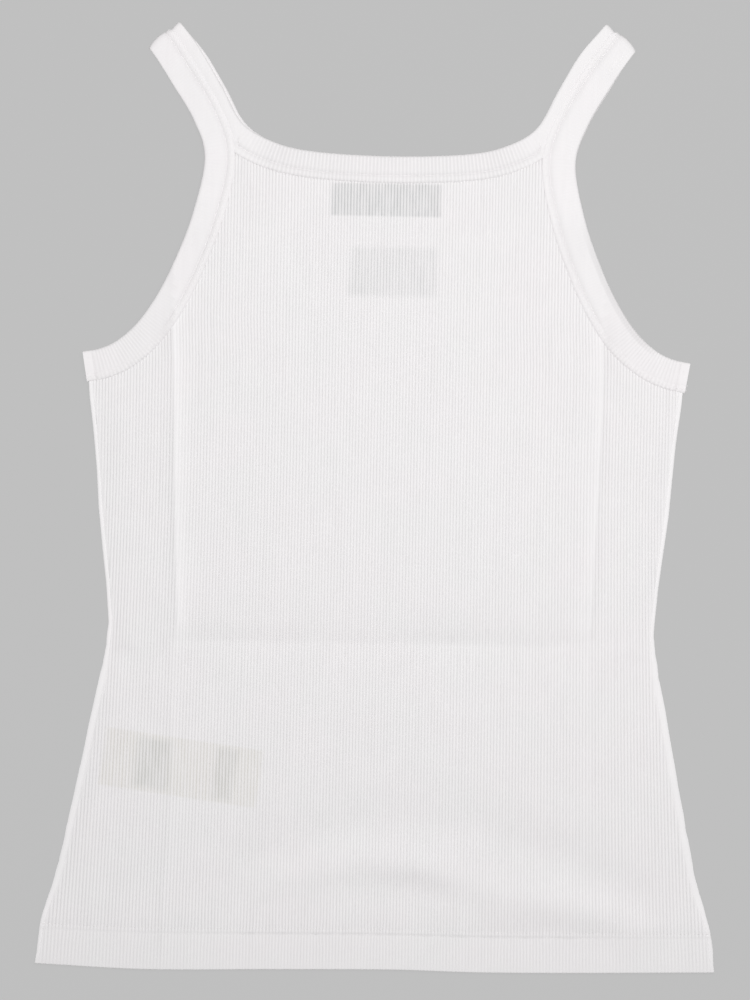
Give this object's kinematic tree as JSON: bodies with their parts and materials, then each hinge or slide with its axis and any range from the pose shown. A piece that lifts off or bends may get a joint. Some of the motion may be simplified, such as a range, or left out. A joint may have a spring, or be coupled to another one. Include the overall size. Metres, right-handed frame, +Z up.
{
  "type": "ribbed tank top",
  "caption": "Rib-knit tank top with bound neckline and armholes and narrow folded straps, laid flat face up, waisted body, turned hem, bare inner labels.",
  "frame": {"origin": "on the surface it lies on, below the middle of its length and width", "axes": "+Y from the hem to the shoulders, +X to the right as seen from above, +Z up out of the front"},
  "size_m": [0.4447, 0.6248, 0.0075],
  "materials": {
    "body_rib": "white cotton rib knit, matt, fine raised vertical ribs",
    "binding_rib": "white cotton rib binding, matt, ribs across the strip",
    "woven_label": "dark woven tape, bare",
    "size_label": "grey woven tape, bare",
    "care_label": "off-white satin tape, bare",
    "thread": "white sewing thread, matt"
  },
  "bodies": {
    "root": {"front_panel": "body_rib", "back_panel": "body_rib", "neck_binding": "binding_rib", "armhole_binding_left": "binding_rib", "armhole_binding_right": "binding_rib", "neck_label": "woven_label", "size_label": "size_label", "care_label": "care_label"}
  },
  "joints": []
}
